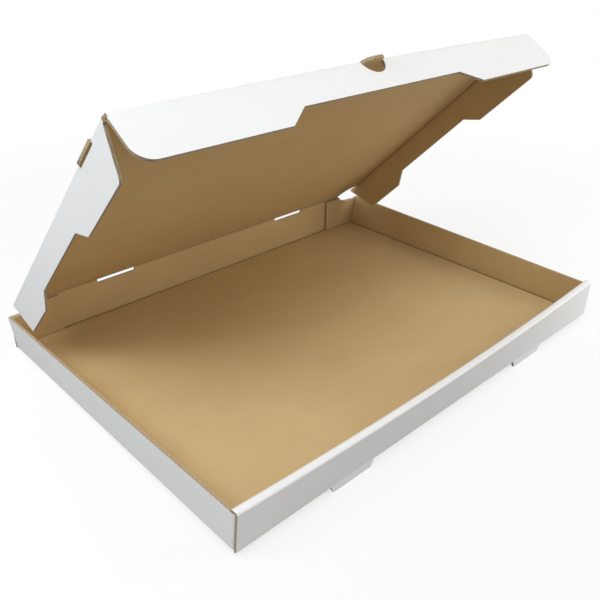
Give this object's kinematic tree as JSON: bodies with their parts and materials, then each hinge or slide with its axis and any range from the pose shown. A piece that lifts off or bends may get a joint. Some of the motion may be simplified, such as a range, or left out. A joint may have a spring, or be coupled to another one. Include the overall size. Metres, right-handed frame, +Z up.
{
  "type": "pizza box",
  "caption": "Large shallow rectangular pizza box folded from corrugated board, standing open, with a creased lid whose front and side flaps tuck inside the tray.",
  "frame": {"origin": "middle of the base's underside", "axes": "+X to the box's right seen from its front, +Y towards the lid's crease at the back, +Z up"},
  "size_m": [0.616, 0.4503, 0.3607],
  "materials": {
    "board": "matte white liner outside, brown kraft liner inside"
  },
  "bodies": {
    "tray": {"tray": "board"},
    "lid": {"lid_panel": "board"},
    "front_flap": {"lid_front_flap": "board"},
    "left_flap": {"lid_left_flap": "board"},
    "right_flap": {"lid_right_flap": "board"}
  },
  "joints": [
    {"name": "lid_hinge", "type": "hinge", "parent": "tray", "child": "lid", "pos_m": [0, 0.2185, 0.0555], "axis": [-1, 0, 0], "range_deg": [-44.5, 135.5]},
    {"name": "front_flap_fold", "type": "hinge", "parent": "lid", "child": "front_flap", "pos_m": [0, -0.075, 0.3439], "axis": [1, 0, 0], "range_deg": [-77.5, 17.5]},
    {"name": "left_flap_fold", "type": "hinge", "parent": "lid", "child": "left_flap", "pos_m": [-0.294, 0.2185, 0.0555], "axis": [0, -0.7133, 0.7009], "range_deg": [-89, 6]},
    {"name": "right_flap_fold", "type": "hinge", "parent": "lid", "child": "right_flap", "pos_m": [0.294, 0.2185, 0.0555], "axis": [0, 0.7133, -0.7009], "range_deg": [-89, 6]}
  ]
}
